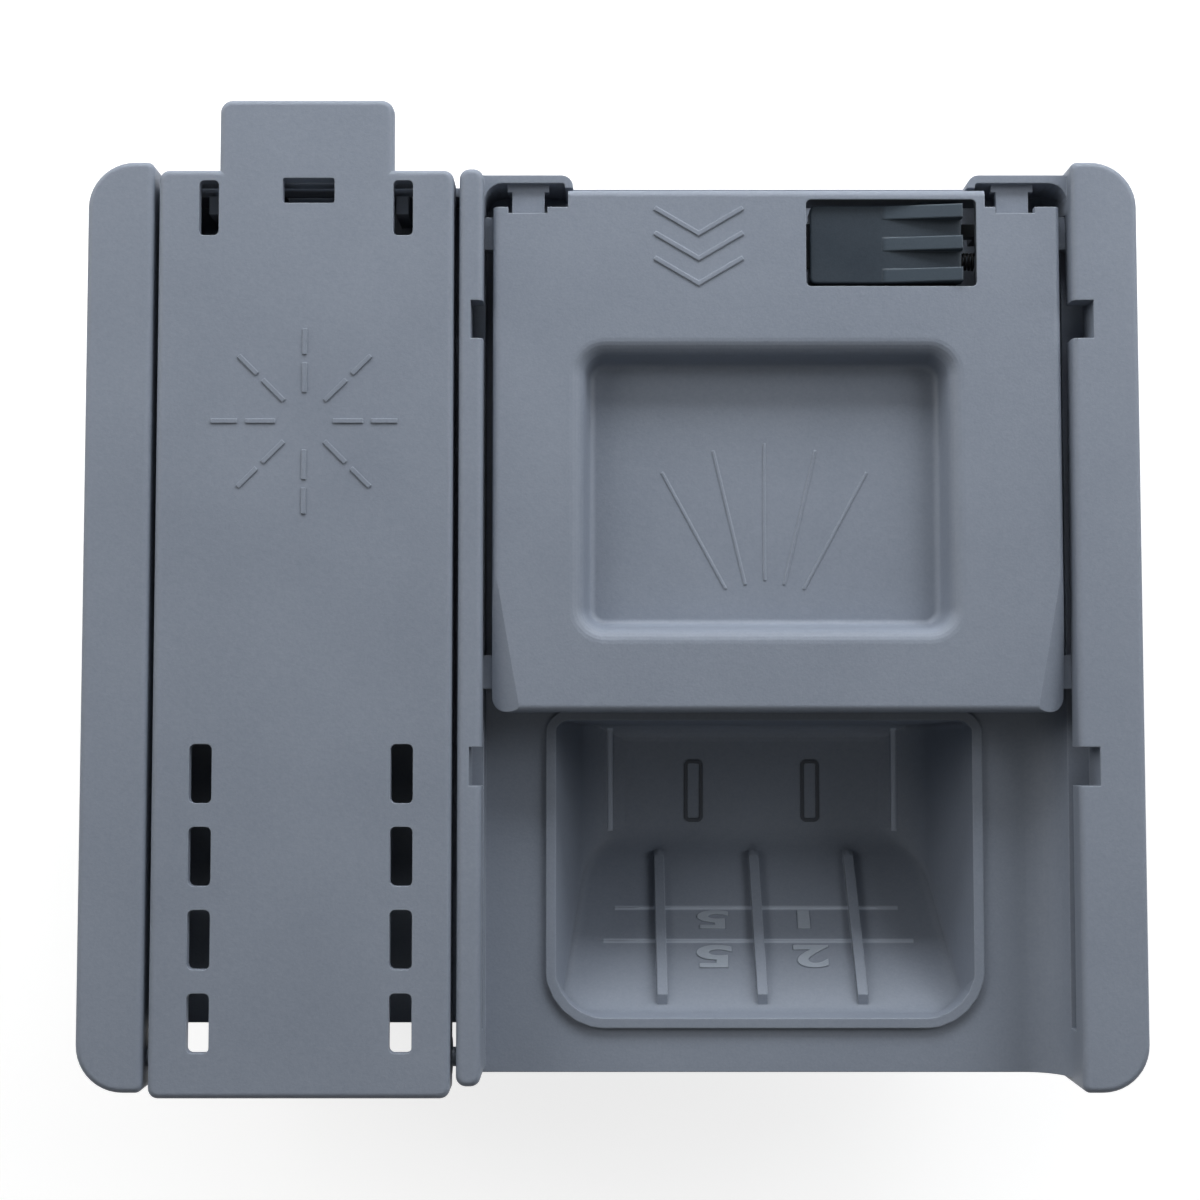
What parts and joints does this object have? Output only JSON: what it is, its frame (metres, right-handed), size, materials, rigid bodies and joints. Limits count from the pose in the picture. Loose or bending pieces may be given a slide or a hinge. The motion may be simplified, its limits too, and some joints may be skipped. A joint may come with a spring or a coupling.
{
  "type": "dishwasher detergent dispenser",
  "caption": "Dishwasher dispenser with a sliding detergent lid over a graduated cup, a latch button and a hinged rinse-aid cover with a lift tab and drain slots.",
  "frame": {"origin": "centre of the bounding box's base, on the plane that the rear covers lie on", "axes": "+X to the right of the front face, +Y to its upper end as it sits on a closed door, +Z out of the front face"},
  "size_m": [0.17, 0.1602, 0.0546],
  "materials": {
    "moulding": "fine matt grain",
    "dark_button": "matt",
    "natural_plastic": "translucent",
    "seal_rubber": "matt",
    "spring_steel": "bright drawn",
    "copper_wire": "enamelled",
    "terminal_brass": "plain"
  },
  "bodies": {
    "chassis": {"front_chassis": "moulding", "filler_strainer": "natural_plastic", "dial_ring": "seal_rubber", "reservoir_tub": "natural_plastic", "reed_switch": "seal_rubber", "dosing_barrel": "natural_plastic", "coil_bobbin": "natural_plastic", "coil_winding": "copper_wire", "yoke_frame": "spring_steel", "terminal_tabs": "terminal_brass", "rear_cover": "moulding", "cover_screws": "spring_steel", "panel_gasket": "seal_rubber", "fixing_clips": "spring_steel", "lid_spring_left": "spring_steel", "lid_spring_right": "spring_steel", "stem_spring": "spring_steel", "rocker_spring": "spring_steel"},
    "lid": {"lid_cover": "moulding", "lid_plate": "moulding", "lid_seal": "seal_rubber", "button_spring": "spring_steel"},
    "button": {"latch_button": "dark_button"},
    "cover": {"rinse_cover": "moulding", "cover_seal": "seal_rubber"},
    "dial": {"dosing_dial": "dark_button"},
    "float": {"level_float": "dark_button"},
    "rocker": {"latch_rocker": "dark_button"},
    "plunger": {"solenoid_plunger": "spring_steel"},
    "stem": {"dosing_stem": "dark_button"}
  },
  "joints": [
    {"name": "lid_slide", "type": "slide", "parent": "chassis", "child": "lid", "axis": [0, -1, 0], "range_m": [0, 0.0545], "stiffness_N_per_m": 60, "springref_m": -0.02, "deforming": ["lid_spring_left", "lid_spring_right"]},
    {"name": "button_slide", "type": "slide", "parent": "lid", "child": "button", "axis": [1, 0, 0], "range_m": [0, 0.0016], "stiffness_N_per_m": 600, "springref_m": -0.001, "deforming": ["button_spring"]},
    {"name": "cover_hinge", "type": "hinge", "parent": "chassis", "child": "cover", "pos_m": [-0.04955, -0.0742, 0.04925], "axis": [1, 0, 0], "range_deg": [0, 95]},
    {"name": "dial_turn", "type": "hinge", "parent": "chassis", "child": "dial", "pos_m": [-0.04955, -0.016, 0.041], "axis": [0, 0, 1], "range_deg": [-125, 125]},
    {"name": "float_slide", "type": "slide", "parent": "chassis", "child": "float", "axis": [0, 1, 0], "range_m": [0, 0.026]},
    {"name": "plunger_slide", "type": "slide", "parent": "chassis", "child": "plunger", "axis": [0, 1, 0], "range_m": [0, 0.00267], "stiffness_N_per_m": 620, "springref_m": -0.0042},
    {"name": "rocker_hinge", "type": "hinge", "parent": "chassis", "child": "rocker", "pos_m": [0.024, 0.016, 0.035], "axis": [1, 0, 0], "range_deg": [0, 11], "deforming": ["rocker_spring"]},
    {"name": "stem_slide", "type": "slide", "parent": "chassis", "child": "stem", "axis": [0, 1, 0], "range_m": [0, 0.0028], "deforming": ["stem_spring"]}
  ],
  "couplings": [
    {"joint": "rocker_hinge", "follows": "plunger_slide", "rad_per_m": 71.94},
    {"joint": "stem_slide", "follows": "plunger_slide", "ratio": 1}
  ]
}
